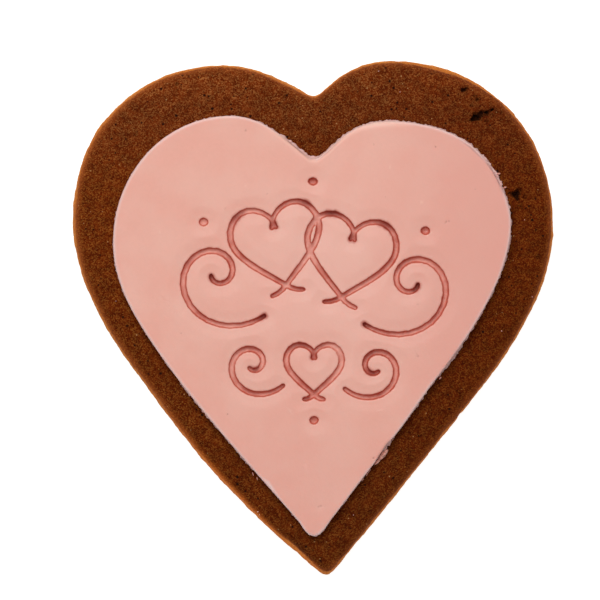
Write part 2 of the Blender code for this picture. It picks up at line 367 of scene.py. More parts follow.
def makeBaked():
    piece = mergedCopy("gingerbread_heart", "bakedHeart")
    chips = makeChips()
    cut = piece.modifiers.new("chips", "BOOLEAN")
    cut.operation = "DIFFERENCE"
    cut.object = chips
    remesh(piece, baked["voxel"])
    smoothen(piece, 1)
    applyAll(piece)
    bpy.data.objects.remove(chips)
    drawOutTip(piece, *baked["tip"])
    moveEdge(piece, "gingerbread_heart", baked["edgeMoves"])

    where = points(piece)
    height = where[:, 2]
    up = normals(piece)[:, 2]
    fromRim = movedDistance("gingerbread_heart", where, baked["edgeMoves"])
    isUpper = height > baked["upperFrom"]
    hidden = isUpper * smoothStep(*baked["hiddenStart"], edgeDistance("icing_heart", where))
    base = smoothStep(*baked["downward"], -up) * (height < baked["baseTop"])
    side = smoothStep(*baked["sideStart"], height) * (1 - smoothStep(*baked["sideEnd"], height))
    profile = np.array(baked["edgeProfile"]) * mm
    below = np.interp(fromRim, profile[:, 0], profile[:, 1]) - height
    inner = isUpper * smoothStep(*baked["pitStart"], fromRim)
    # how deep a point lies in a crack, for the painted shade there
    setMask(piece, "pitMask", inner * smoothStep(*baked["pitDepths"], below))
    setMask(piece, "baseMask", base)
    # the band along the rim where the paler rim colour, partly painted light, is laid
    setMask(piece, "rimLightMask", isUpper * (1 - smoothStep(*baked["rimEnd"], fromRim)))
    setGroup(piece, "side", side * (fromRim < baked["sideReach"]))
    setGroup(piece, "crust", (1 - hidden) * smoothStep(*baked["crustStart"], height))
    setGroup(piece, "plain", np.maximum(hidden, base * smoothStep(*baked["baseStart"], fromRim)))
    relief(piece, "wave", baked["waveSize"], baked["waveHeight"], group="crust")
    relief(piece, "crumb", baked["crumbSize"], baked["crumbHeight"], group="crust")
    relief(piece, "sideCrag", baked["cragSize"], baked["cragHeight"], group="side")
    thin(piece, baked["plainShare"], "plain")
    applyAll(piece)
    print("baked heart:", countTriangles(piece), "triangles")
    return piece


# Crumbs that lie loose on the baked face

crumbs = {
    "seed": 7,
    # where crumbs lie: x, y, reach in mm, how many
    "heaps": [
        (31.9, 36.5, 0.9, 18), (33.6, 37.9, 0.8, 12), (35.2, 38.6, 0.8, 5), (38.8, 21.4, 0.7, 14),
        (39.6, 22.6, 0.6, 8), (29.9, 41.7, 0.8, 6), (27.3, 36.6, 1.6, 5), (27.0, -14.5, 3.0, 9),
        (20.0, -23.5, 3.5, 9), (9.5, -35.5, 3.0, 8), (-33.0, 34.0, 5.0, 8), (4.0, 40.0, 5.0, 8),
        (-24.0, 41.0, 4.0, 8), (40.0, 4.0, 2.5, 6), (-39.0, 12.0, 3.0, 6), (-20.0, -25.0, 3.0, 6),
    ],
    "lengths": (0.16, 0.36),  # in mm
    # shares of a crumb's length
    "widths": (0.6, 1),
    "depth": 0.35,
    "lift": 0.1,
    "roughness": 0.16,
    "fromRim": 1.2 * mm,  # no crumb lies nearer to the rim
    "fromIcing": 0.5 * mm,  # or to the icing
}


def makeCrumbs():
    chance = random.Random(crumbs["seed"])
    lumps = []
    for heapX, heapY, reach, count in crumbs["heaps"]:
        for _ in range(count):
            length = chance.uniform(*crumbs["lengths"])
            x = heapX + chance.gauss(0, reach / 2)
            y = heapY + chance.gauss(0, reach / 2)
            spot = np.array([[x * mm, y * mm]])
            isInside = edgeDistance("gingerbread_heart", spot)[0] > crumbs["fromRim"]
            isOutside = edgeDistance("icing_heart", spot)[0] < -crumbs["fromIcing"]
            if isInside and isOutside:
                width = length * chance.uniform(*crumbs["widths"])
                lumps.append(addLump(x, y, deckHeight + length * crumbs["lift"] * mm, length,
                                     width, length * crumbs["depth"], chance.uniform(0, 360),
                                     crumbs["roughness"], len(lumps)))
    print("loose crumbs:", len(lumps))
    return joinAll(lumps, "looseCrumbs")


# Torn bits of icing beside its edge

grains = {
    # pale grains: x, y, size in mm
    "loose": [
        (-10.3, -36.4, 0.28), (-10.0, -36.95, 0.22), (35.3, -2.6, 0.26), (16.3, 42.1, 0.2),
        (12.3, 46.0, 0.24), (41.0, 3.8, 0.2), (39.6, 18.2, 0.2), (-36.8, 3.0, 0.18),
        (7.6, -37.0, 0.2),
    ],
    # shares of a grain's size
    "width": 0.7,
    "depth": 0.4,
    "lift": 0.2,
    "turn": 50,  # degrees from one grain to the next
    "roughness": 0.18,
    # flakes that hang on the cut edge: x, y, length, width, depth in mm, heading in degrees
    "flakes": [
        (13.1, -25.8, 2.3, 0.85, 0.45, 50), (12.1, -27.0, 1.7, 0.5, 0.38, 47),
        (13.6, -25.1, 1.0, 0.6, 0.4, 30), (10.5, -28.8, 1.0, 0.2, 0.3, 54),
        (10.1, -29.4, 0.7, 0.18, 0.3, 60), (9.3, -30.4, 0.7, 0.2, 0.3, 48),
        (14.9, -22.9, 0.4, 0.24, 0.3, 50), (30.5, -1.2, 0.7, 0.26, 0.35, 64),
        (28.9, -3.2, 1.5, 0.2, 0.25, 60), (23.8, -11.4, 0.6, 0.26, 0.3, 52),
        (-11.2, -29.3, 0.7, 0.16, 0.2, -70), (-10.4, -30.2, 0.6, 0.16, 0.2, -80),
        (-21.6, -16.2, 0.6, 0.15, 0.2, -45), (34.7, 26.8, 0.7, 0.36, 0.4, 10),
        (35.9, 24.25, 0.6, 0.3, 0.4, 15),
    ],
    "flakeLift": 0.5 * mm,
    "flakeRoughness": 0.2,
}


def makeGrains():
    lumps = []
    for number, (x, y, size) in enumerate(grains["loose"]):
        lumps.append(addLump(x, y, deckHeight + size * grains["lift"] * mm, size,
                             size * grains["width"], size * grains["depth"],
                             number * grains["turn"], grains["roughness"], number))
    for number, (x, y, length, width, depth, heading) in enumerate(grains["flakes"]):
        lumps.append(addLump(x, y, deckHeight + grains["flakeLift"], length, width, depth,
                             heading, grains["flakeRoughness"], number))
    print("icing grains:", len(lumps))
    return joinAll(lumps, "icingGrains")


# The pressed icing heart

icing = {
    "voxel": 0.205 * mm,
    # where the cut ran wider, or narrower where the last is below 0: x, y, reach, distance in mm
    "edgeMoves": [(-37, 6, 14, 0.22), (36, 5, 10, 0.09), (35, 26, 9, -0.65), (19, 38, 9, -0.15),
                  (0, 30, 7, -0.36), (16, -22, 12, 0.18), (29, -3, 9, 0.15), (-35, 27, 8, -0.08),
                  (0.1, -40.4, 3.5, 0.78), (14, -24.6, 3.5, -0.45), (25, -9, 6, 0.07)],
    "footDrop": 0.5 * mm,  # the foot reaches this much lower, into the baked face
    "footHeight": 0.7 * mm,
    # the shoulder is squared this far in from the edge and this far above the foot
    "shoulderReach": 2.6 * mm,
    "shoulderFrom": 1.0 * mm,
    "shoulderHeight": 0.62,  # share of the full height that is lifted to the top
    "softness": 0.7,  # how much of that a soft shoulder is spared
    "lipTurns": 3,
    "waveSize": 16 * mm,
    "waveHeight": 0.12 * mm,
    "depthSize": 7 * mm,  # how the depth of the strokes varies
    "depthHeight": 0.9 * mm,
    "depthMiddle": 0.62,
    "toothSize": 0.35 * mm,
    "toothHeight": 0.3 * mm,
    "toothMiddle": 0.45,
    "highFringe": 0.15,  # how much of the toothed relief stays high on the cut edge
    "strokeSize": 0.7 * mm,  # the small unevenness of the strokes
    "strokeHeight": 0.16 * mm,
    # how far each group is pressed down
    "sinks": {"halo": 0.15 * mm, "ends": 0.35 * mm, "marks": 0.12 * mm, "crease": 0.2 * mm},
    "seed": 12,
    "teeth": 900,
    "evenTeeth": 0.15,  # chance that a tooth stays where the edge isn't ragged
    "toothLengths": (0.25, 0.45),  # in mm, as the next four
    "toothExtra": (0, 0.35),
    "toothWidths": (0.2, 0.36),
    "toothDepths": (0.12, 0.3),
    "toothLifts": (-0.1, 0.3),
    "toothTurn": 40,  # degrees
    "toothRoughness": 0.1,
    # distances in from the edge over which these set in or fade out
    "lipStart": (0.6 * mm, 1.2 * mm),
    "outerEnd": (0.8 * mm, 1.8 * mm),
    "shoulderHighlightEnd": (0.4 * mm, 1.6 * mm),
    "lineEnd": (0.1 * mm, 0.75 * mm),
    "waveStart": (0, 3 * mm),
    "faceStart": (2.0 * mm, 2.6 * mm),
    "baseStart": (0.4 * mm, 0.9 * mm),
    "strokesFrom": 3 * mm,
    # heights above the foot
    "lowEnd": (0.6 * mm, 1.6 * mm),
    "cutEnd": (0.4 * mm, 1.3 * mm),
    "underTop": 0.05 * mm,
    "baseTop": 0.3 * mm,
    # depths below the face
    "guideDepths": (0.3 * mm, 1.4 * mm),
    "floorStart": (0.1 * mm, 0.9 * mm),
    "strokeShadeDepths": (0.35 * mm, 1.5 * mm),
    # distances from the walls and floors of the strokes: whole up to the first, gone at the last
    "haloReach": (0.3 * mm, 2.5 * mm),
    "pressedReach": (0.15 * mm, 0.6 * mm),
    # how far the surface faces up
    "wallSlopes": (0.35, 0.95),
    "floorSlope": 0.2,
    "markSlope": 0.5,
    "flatSlope": 0.9,
    "baseSlope": -0.6,
    "plainSpacing": 0.03,  # share of the plain face's points that aren't thinned
    "plainShare": 0.38,  # share of all the faces that stays
    # where the rolled shoulder stays soft, the rest is cut crisp: x, y, reach in mm
    "softShoulders": [(-4, 31, 9), (4, 33, 8), (12, 36, 8)],
    # where the strokes are pressed deepest: x, y, reach in mm
    "deepEnds": [
        (-7.1, 17.2, 1.7), (7.3, 14.4, 1.7), (0, -7.4, 1.3), (-18.7, 7.3, 1.7), (19.5, 5.6, 1.7),
        (-10.8, -9.5, 1.4), (10.7, -10.1, 1.4), (-8.8, 0.2, 2.2), (9.4, -0.9, 2.2),
        (-13.5, 17.8, 2.6), (-1.0, 21.8, 2.4), (3.6, 19.5, 2.4), (13.4, 16.6, 2.6),
    ],
    "centre": [(3, 8, 27)],  # the paler middle of the face: x, y, reach in mm
    # where a thin ledge of flash stands out below the cut: x, y, reach in mm
    "ledges": [(-3, 31.8, 6), (3, 31.8, 5), (34.6, 27, 6), (30, 31, 5)],
    "creasePlace": 0.52 * mm,  # in from the edge
    "creaseWidth": 0.16 * mm,
    # where the cut edge is most ragged: x, y, reach in mm
    "raggedPlaces": [
        (-9, 35, 6), (-4, 32, 7), (0, 30.5, 6), (6, 34, 8), (14, 37, 8), (24, 34, 9),
        (31, 29, 9), (36, 22, 8), (37, 12, 9), (34, 3, 8), (28, -5, 9), (14, -24, 5),
        (-22, -16, 7), (-14, -26, 6), (20, -15, 6),
    ],
    # small marks on the face: x, y, size in mm, depth in mm for a dark one that is pressed in,
    # or below 0 for a pale one
    "marks": [
        (22.9, 31.8, 0.32, 0.12), (-12.5, 34.8, 0.4, 0.05), (-12.6, 24.5, 0.45, -0.05),
        (-28.6, 15.8, 0.4, -0.04), (24.9, 17.8, 0.35, 0.09), (25.4, 17.9, 0.35, 0.08),
        (20.3, 21.5, 0.4, -0.05), (30.3, 23.9, 0.3, 0.06), (22.1, 15.8, 0.4, -0.04),
        (21.4, 15.2, 0.35, -0.04), (-8.6, 23.0, 0.3, 0.06), (14.4, 27.9, 0.4, -0.05),
        (11.4, 32.2, 0.3, 0.05), (11.3, -26.3, 0.32, 0.14), (1.5, -35.3, 0.4, 0.06),
        (1.0, -35.4, 0.35, 0.06), (19.6, -7.3, 0.45, 0.05), (16.5, -8.4, 0.4, -0.04),
        (-24.6, -3.0, 0.35, 0.05), (-4.2, -17.6, 0.35, -0.04),
    ],
    "markEdge": (0.2, 0.75),  # shares of a mark's size between which it fades
    "darkestMark": 0.14,  # depth of a wholly dark mark, in mm
    "palestMark": 0.05,  # how far below 0 a wholly pale one is
}


def makePressGuide(piece):
    # the floors and walls of the pressed strokes, as a guide for distances
    pickOnly(piece)
    bpy.ops.object.duplicate()
    guide = bpy.context.object
    fromEdge = edgeDistance("icing_heart", points(guide))
    shallow, deep = icing["guideDepths"]
    bpy.ops.object.mode_set(mode="EDIT")
    bpy.ops.mesh.select_mode(type="FACE")
    bpy.ops.mesh.select_all(action="DESELECT")
    bpy.ops.object.mode_set(mode="OBJECT")
    for face in guide.data.polygons:
        isInner = min(fromEdge[corner] for corner in face.vertices) > icing["strokesFrom"]
        face.select = bool(isInner) and shallow < icingTop - face.center.z < deep
    bpy.ops.object.mode_set(mode="EDIT")
    bpy.ops.mesh.select_all(action="INVERT")
    bpy.ops.mesh.delete(type="FACE")
    bpy.ops.object.mode_set(mode="OBJECT")
    return guide


def nearness(piece, guide, name, nearest, farthest):
    # vertex group that is 1 up to the nearest distance from the guide and 0 past the farthest
    group = piece.vertex_groups.new(name=name)
    group.add(list(range(len(piece.data.vertices))), 1.0, "REPLACE")
    step = piece.modifiers.new(name, "VERTEX_WEIGHT_PROXIMITY")
    step.vertex_group = name
    step.target = guide
    step.proximity_mode = "GEOMETRY"
    step.proximity_geometry = {"FACE"}
    step.min_dist = farthest
    step.max_dist = nearest
    step.falloff_type = "SMOOTH"
    applyAll(piece)


def shapeIcingEdge(piece):
    # lowers the foot onto the baked face, and squares the shoulder where it is crisp
    where = points(piece)
    height = where[:, 2]
    fromEdge = edgeDistance("icing_heart", where)
    height -= icing["footDrop"] * np.clip(1 - (height - icingFoot) / icing["footHeight"], 0, 1)
    crisp = 1 - icing["softness"] * nearPlaces(where, icing["softShoulders"])
    lifted = icingFoot + (height - icingFoot) / icing["shoulderHeight"]
    isShoulder = (fromEdge < icing["shoulderReach"]) & (height > icingFoot + icing["shoulderFrom"])
    share = crisp * isShoulder
    height[:] = height * (1 - share) + np.minimum(lifted, icingTop) * share
    setPoints(piece, where)


def makeTeeth():
    # the torn fringe that the cutter left along the icing's foot
    chance = random.Random(icing["seed"])
    angles, reaches = outlineOf("icing_heart")
    lumps = []
    for number in range(icing["teeth"]):
        angle = chance.uniform(-math.pi, math.pi)
        ray = np.array([math.cos(angle), math.sin(angle)])
        reach = np.interp(angle, angles, reaches, period=math.tau)
        spot = np.array([heartCentre + ray * reach])
        reach += edgeShift(spot, icing["edgeMoves"])[0]
        spot = np.array([heartCentre + ray * reach])
        ragged = float(nearPlaces(spot, icing["raggedPlaces"])[0])
        if chance.random() > icing["evenTeeth"] + (1 - icing["evenTeeth"]) * ragged:
            continue
        length = chance.uniform(*icing["toothLengths"])
        length += ragged * chance.uniform(*icing["toothExtra"])
        heading = math.degrees(angle) + chance.gauss(0, icing["toothTurn"])
        foot = icingFoot + chance.uniform(*icing["toothLifts"]) * mm
        width = chance.uniform(*icing["toothWidths"])
        depth = chance.uniform(*icing["toothDepths"])
        lumps.append(addLump(*spot[0] / mm, foot, length, width, depth, heading,
                             icing["toothRoughness"], number))
    print("teeth:", len(lumps))
    return joinAll(lumps, "cutTeeth")


def markSpots(where, up):
    # how dark and how pale the small marks on the face are
    dark = np.zeros(len(where))
    pale = np.zeros(len(where))
    for x, y, size, sink in icing["marks"]:
        away = np.hypot(where[:, 0] - x * mm, where[:, 1] - y * mm)
        inside, outside = (share * size * mm for share in icing["markEdge"])
        spot = (1 - smoothStep(inside, outside, away)) * (up > icing["markSlope"])
        if sink > 0:
            dark = np.maximum(dark, spot * sink / icing["darkestMark"])
        else:
            pale = np.maximum(pale, spot * -sink / icing["palestMark"])
    return dark, pale


def makeIcing():
    piece = mergedCopy("icing_heart", "pressedIcing")
    guide = makePressGuide(piece)
    shapeIcingEdge(piece)
    moveEdge(piece, "icing_heart", icing["edgeMoves"])
    joinAll([piece, makeTeeth()], "pressedIcing")
    remesh(piece, icing["voxel"])
    applyAll(piece)
    nearness(piece, guide, "halo", *icing["haloReach"])
    nearness(piece, guide, "pressed", *icing["pressedReach"])
    bpy.data.objects.remove(guide)
    fromEdge = movedDistance("icing_heart", points(piece), icing["edgeMoves"])
    setGroup(piece, "lips", smoothStep(*icing["lipStart"], fromEdge))
    smoothen(piece, icing["lipTurns"], "lips")
    applyAll(piece)

    where = points(piece)
    up = normals(piece)[:, 2]
    above = where[:, 2] - icingFoot
    below = icingTop - where[:, 2]
    fromEdge = movedDistance("icing_heart", where, icing["edgeMoves"])
    pressed = groupWeights(piece, "pressed")
    halo = groupWeights(piece, "halo")
    dark, pale = markSpots(where, up)
    outer = 1 - smoothStep(*icing["outerEnd"], fromEdge)
    low = 1 - smoothStep(*icing["lowEnd"], above)
    fringe = icing["highFringe"] + (1 - icing["highFringe"]) * low
    # a crease above each ledge, pressed in and darkened with painted shade
    crease = np.exp(-((fromEdge - icing["creasePlace"]) / icing["creaseWidth"]) ** 2)
    crease *= nearPlaces(where, icing["ledges"]) * (up > 0)
    # a painted highlight, cream, on the soft shoulders near the edge
    shoulder = nearPlaces(where, icing["softShoulders"])
    shoulder *= 1 - smoothStep(*icing["shoulderHighlightEnd"], fromEdge)
    floor = pressed * smoothStep(*icing["floorStart"], below) * (up > icing["floorSlope"])
    ends = pressed * nearPlaces(where, icing["deepEnds"])
    isBase = (up < icing["baseSlope"]) & (above < icing["baseTop"])
    masks = {
        "cutMask": outer * (1 - smoothStep(*icing["cutEnd"], above)),
        "shoulderHighlightMask": shoulder,
        "creaseShadeMask": crease,
        "lineMask": 1 - smoothStep(*icing["lineEnd"], fromEdge),
        "centreMask": nearPlaces(where, icing["centre"]),
        "markMask": dark,
        "paleMask": pale,
        "endShadeMask": ends,
    }
    for name, values in masks.items():
        setMask(piece, name, values)
    groups = {
        "crease": crease,
        "tooth": outer * fringe * (above >= icing["underTop"]),
        "floor": floor,
        "ends": floor * ends,
        "marks": dark,
        "wave": smoothStep(*icing["waveStart"], fromEdge) * (up > 0),
    }
    for name, weights in groups.items():
        setGroup(piece, name, weights)
    for name, depth in icing["sinks"].items():
        sinkGroup(piece, name, depth)
    relief(piece, "uneven", icing["depthSize"], icing["depthHeight"], icing["depthMiddle"],
           "floor", "Z", 0)
    relief(piece, "strokes", icing["strokeSize"], icing["strokeHeight"], group="pressed")
    relief(piece, "tooth", icing["toothSize"], icing["toothHeight"], icing["toothMiddle"],
           "tooth", depth=1)
    smoothen(piece, 1, "floor")
    applyAll(piece)

    # how deep and how steep the strokes have become decides the painted shade in them
    up = normals(piece)[:, 2]
    below = icingTop - points(piece)[:, 2]
    setMask(piece, "strokeShadeMask", pressed * smoothStep(*icing["strokeShadeDepths"], below))
    setMask(piece, "wallShadeMask", pressed * (1 - smoothStep(*icing["wallSlopes"], up)))
    isPlain = (halo < 0.05) & (up > icing["flatSlope"]) & (dark + pale < 0.01)
    kept = np.random.default_rng(icing["seed"]).random(len(up)) < icing["plainSpacing"]
    face = smoothStep(*icing["faceStart"], fromEdge) * (isPlain & ~kept)
    base = smoothStep(*icing["baseStart"], fromEdge) * isBase
    setGroup(piece, "plain", np.maximum(face, base))
    relief(piece, "icingWave", icing["waveSize"], icing["waveHeight"], group="wave", axis="Z")
    thin(piece, icing["plainShare"], "plain")
    applyAll(piece)
    print("pressed icing:", countTriangles(piece), "triangles")
    return piece


# Helpers for the finishes, and the effects that more than one of them uses

def newNode(tree, kind, **settings):
    # nodes are laid out in columns of ten, in the order in which they are made
    column, row = divmod(len(tree.nodes), 10)
    node = tree.nodes.new(kind)
    node.location = (column * 200, -row * 200)
    for key, value in settings.items():
        setattr(node, key, value)
    return node


def newGroup(name, inputs, outputs):
    tree = bpy.data.node_groups.new(name, "ShaderNodeTree")
    for label, value in inputs:
        socket = tree.interface.new_socket(label, in_out="INPUT", socket_type="NodeSocketFloat")
        socket.default_value = value
    for label in outputs:
        tree.interface.new_socket(label, in_out="OUTPUT", socket_type="NodeSocketFloat")
    return tree, newNode(tree, "NodeGroupInput"), newNode(tree, "NodeGroupOutput")


def feed(tree, socket, value):
    # a number or a colour is set on the socket itself, anything else is linked to it
    if isinstance(value, (int, float)):
        socket.default_value = value
    elif isinstance(value, tuple):
        socket.default_value = (*value, 1)
    else:
        tree.links.new(value, socket)


def math2(tree, operation, first, second):
    node = newNode(tree, "ShaderNodeMath", operation=operation)
    feed(tree, node.inputs[0], first)
    feed(tree, node.inputs[1], second)
    return node.outputs[0]


def ranged(tree, value, low, high, toLow=0.0, toHigh=1.0):
    # eases from toLow to toHigh while the value goes from low to high
    node = newNode(tree, "ShaderNodeMapRange", interpolation_type="SMOOTHSTEP")
    for label, entry in zip(("Value", "From Min", "From Max", "To Min", "To Max"),
                            (value, low, high, toLow, toHigh)):
        feed(tree, node.inputs[label], entry)
    return node.outputs["Result"]


def mixColour(tree, share, first, second, blend="MIX"):
    node = newNode(tree, "ShaderNodeMix", data_type="RGBA", blend_type=blend)
    for number, value in ((0, share), (6, first), (7, second)):
        feed(tree, node.inputs[number], value)
    return node.outputs[2]


def maskOf(tree, name):
    return newNode(tree, "ShaderNodeAttribute", attribute_name=name).outputs["Fac"]


def objectPlace(tree):
    # the three object coordinates
    place = newNode(tree, "ShaderNodeTexCoord")
    parts = newNode(tree, "ShaderNodeSeparateXYZ")
    tree.links.new(place.outputs["Object"], parts.inputs[0])
    return parts.outputs


def texture(tree, kind, scale, **inputs):
    # a noise or cell texture in object coordinates
    place = newNode(tree, "ShaderNodeTexCoord")
    node = newNode(tree, kind)
    tree.links.new(place.outputs["Object"], node.inputs["Vector"])
    feed(tree, node.inputs["Scale"], scale)
    for label, value in inputs.items():
        node.inputs[label].default_value = value
    return node


grainEffect = {
    "size": 0.3 * mm,
    "detail": 1.5,
    "roughness": 0.6,
    "fineShare": 0.3,  # the rest is flat cells, one for each grain
    "clumpScale": 0.22,
    "clumpDetail": 2.0,
}


def makeGrainGroup():
    # sandy grain: Size in metres, Grain and Clumps from 0 to 1
    look = grainEffect
    tree, given, out = newGroup("sandyGrain", [("Size", look["size"])], ["Grain", "Clumps"])
    scale = math2(tree, "DIVIDE", 1.0, given.outputs["Size"])
    fine = texture(tree, "ShaderNodeTexNoise", scale,
                   Detail=look["detail"], Roughness=look["roughness"])
    cells = texture(tree, "ShaderNodeTexVoronoi", scale)
    clumps = texture(tree, "ShaderNodeTexNoise",
                     math2(tree, "MULTIPLY", scale, look["clumpScale"]), Detail=look["clumpDetail"])
    parts = newNode(tree, "ShaderNodeSeparateColor")
    tree.links.new(cells.outputs["Color"], parts.inputs["Color"])
    spread = math2(tree, "MULTIPLY", fine.outputs["Fac"], look["fineShare"])
    cellShare = math2(tree, "MULTIPLY", parts.outputs[0], 1 - look["fineShare"])
    tree.links.new(math2(tree, "ADD", spread, cellShare), out.inputs["Grain"])
    tree.links.new(clumps.outputs["Fac"], out.inputs["Clumps"])
    return tree


speckEffect = {
    "size": 0.3 * mm,
    "spacing": 2 * mm,
    "share": 0.4,
    "core": 0.5,  # share of a speck's reach that is wholly coloured
}


def makeSpeckGroup():
    # scattered specks: Size and Spacing in metres, Share of the places that hold one
    look = speckEffect
    inputs = [("Size", look["size"]), ("Spacing", look["spacing"]), ("Share", look["share"])]
    tree, given, out = newGroup("scatteredSpecks", inputs, ["Specks"])
    cells = texture(tree, "ShaderNodeTexVoronoi",
                    math2(tree, "DIVIDE", 1.0, given.outputs["Spacing"]))
    parts = newNode(tree, "ShaderNodeSeparateColor")
    tree.links.new(cells.outputs["Color"], parts.inputs["Color"])
    away = math2(tree, "MULTIPLY", cells.outputs["Distance"], given.outputs["Spacing"])
    reach = math2(tree, "MULTIPLY", given.outputs["Size"], parts.outputs[1])
    near = ranged(tree, away, math2(tree, "MULTIPLY", reach, look["core"]), reach, 1, 0)
    held = math2(tree, "LESS_THAN", parts.outputs[0], given.outputs["Share"])
    tree.links.new(math2(tree, "MULTIPLY", near, held), out.inputs["Specks"])
    return tree


def useGroup(tree, group, **values):
    node = newNode(tree, "ShaderNodeGroup", node_tree=group)
    for label, value in values.items():
        node.inputs[label].default_value = value
    return node.outputs


def newMaterial(name, specular):
    material = bpy.data.materials.new(name)
    material.use_nodes = True
    surface = material.node_tree.nodes["Principled BSDF"]
    surface.inputs["Specular IOR Level"].default_value = specular
    return material, material.node_tree, surface


def bumped(tree, surface, height, distance, strength):
    bump = newNode(tree, "ShaderNodeBump")
    bump.inputs["Distance"].default_value = distance
    bump.inputs["Strength"].default_value = strength
    tree.links.new(height, bump.inputs["Height"])
    tree.links.new(bump.outputs["Normal"], surface.inputs["Normal"])


# Finish of the baked heart, colours as linear values

bakedFinish = {
    "specular": 0.04,
    "grainSize": 0.175 * mm,
    # the crumb, from its darkest grain to its lightest, with the place of each on the ramp
    "crumbRamp": [(0.12, (0.056, 0.0050, 0.0001)), (0.5, (0.128, 0.0190, 0.0014)),
                  (0.88, (0.264, 0.094, 0.0245))],
    "reddish": (0.136, 0.025, 0.004),
    "clumpRange": (0.42, 0.62, 0, 0.35),
    # brightness along y and x: from, to, and the factors there
    "tipShade": (-40 * mm, 44 * mm, 0.80, 1.0),
    "crownShade": (38 * mm, 44 * mm, 1.0, 1.22),
    "rightShade": (-30 * mm, 42 * mm, 1.06, 0.85),
    "patchSize": 1.6 * mm,
    "patchDetail": 2,
    "patchShade": (0.32, 0.68, 0.84, 1.16),
    # tints as factors, and where each sets in: below the crown along y, on the right along x
    "low": (1.0, 0.91, 0.58),
    "lowStart": (38 * mm, 22 * mm),
    "right": (1.0, 0.89, 0.76),
    "rightStart": (8 * mm, 30 * mm),
    # pinholes: their near-black colour is painted shade in small holes
    "pinholes": {"Size": 0.36 * mm, "Spacing": 1.3 * mm, "Share": 0.7},
    "pinholeShade": (0.018, 0.004, 0.002),
    "flourSpecks": {"Size": 0.2 * mm, "Spacing": 1.1 * mm, "Share": 0.3},
    "flourShare": 0.7,
    "flour": (0.50, 0.26, 0.10),
    # the side, from its top down: the level is roughened by the grain's clumps, and raised
    # towards the right and at the upper right corner
    "levelRoughness": 1.6 * mm,
    "flankSlope": 0.5,
    "flankRise": (0, 28 * mm, 0, 0.35 * mm),
    "cornerRise": (56 * mm, 72 * mm, 0, 0.4 * mm),
    "golden": (0.50, 0.147, 0.0195),
    "goldenStart": (5.92 * mm, 4.75 * mm),
    "cream": (0.77, 0.328, 0.078),
    "creamStart": (4.0 * mm, 1.9 * mm, 0, 0.8),
    "foot": (0.42, 0.185, 0.062),
    "footStart": (3.1 * mm, 1.0 * mm, 0, 0.75),
    # the left side near the tip is more golden: where along x and y, and how much
    "tipLeft": (3 * mm, 0),
    "tipLow": (-14 * mm, -30 * mm),
    "tipSide": (0.68, 0.205, 0.034),
    "tipSideShare": 0.75,
    "tipCream": 0.2,  # share of the cream that is left there
    # factors on the side, the rim and the underside, for the dark grains and the light ones
    "grainTints": ((0.6, 0.52, 0.45), (1.35, 1.35, 1.3)),
    # the paler rim, part baked colour and part painted light, stronger on the left, weaker at the
    # top, and narrower near the tip
    "rim": (0.315, 0.076, 0.0145),
    "tipRimLight": (0.53, 0.125, 0.0170),
    "rimLeft": (14 * mm, -14 * mm, 0.55, 0.95),
    "rimTop": (34 * mm, 46 * mm, 1, 0.5),
    "rimPower": 1.8,
    # painted shade in the cracks, and the crumbs in them: by grain, and fewer where the cracks are
    # deep
    "pit": (0.012, 0.003, 0.001),
    "pitShare": 0.95,
    "pitCrumb": (0.20, 0.045, 0.005),
    "pitCrumbGrain": (0.45, 0.75, 0, 0.7),
    "pitCrumbDepth": (0.8, 1.0, 1.0, 0.15),
    "under": (0.1838, 0.0382, 0.0041),
    "roughness": 0.8,
    "grainRoughness": 0.15,
    "bumpDistance": 0.08 * mm,
    "bumpStrength": 0.7,
}


